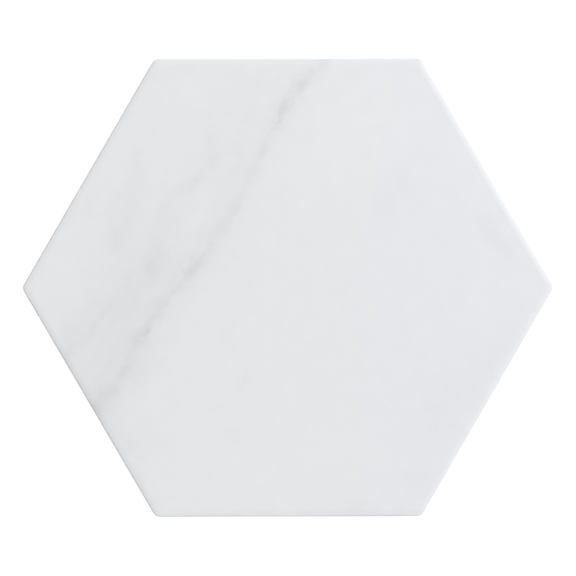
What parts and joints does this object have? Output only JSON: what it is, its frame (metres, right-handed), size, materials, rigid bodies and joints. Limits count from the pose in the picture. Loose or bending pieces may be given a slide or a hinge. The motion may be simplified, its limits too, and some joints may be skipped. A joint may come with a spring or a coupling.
{
  "type": "hexagon floor tile",
  "caption": "Flat hexagonal porcelain floor tile with a softly cushioned edge, a satin glazed face veined like pale marble, and a honeycomb-keyed back that grips the adhesive bed.",
  "frame": {"origin": "under the middle of the face, in the plane that the tile's back rests on", "axes": "+Z out of the glazed face; +X from point to point, the longest way across; +Y across the two flats"},
  "size_m": [0.2488, 0.215, 0.009],
  "materials": {
    "glazed_porcelain": "satin"
  },
  "bodies": {
    "root": {"hexagon_tile": "glazed_porcelain"}
  },
  "joints": []
}
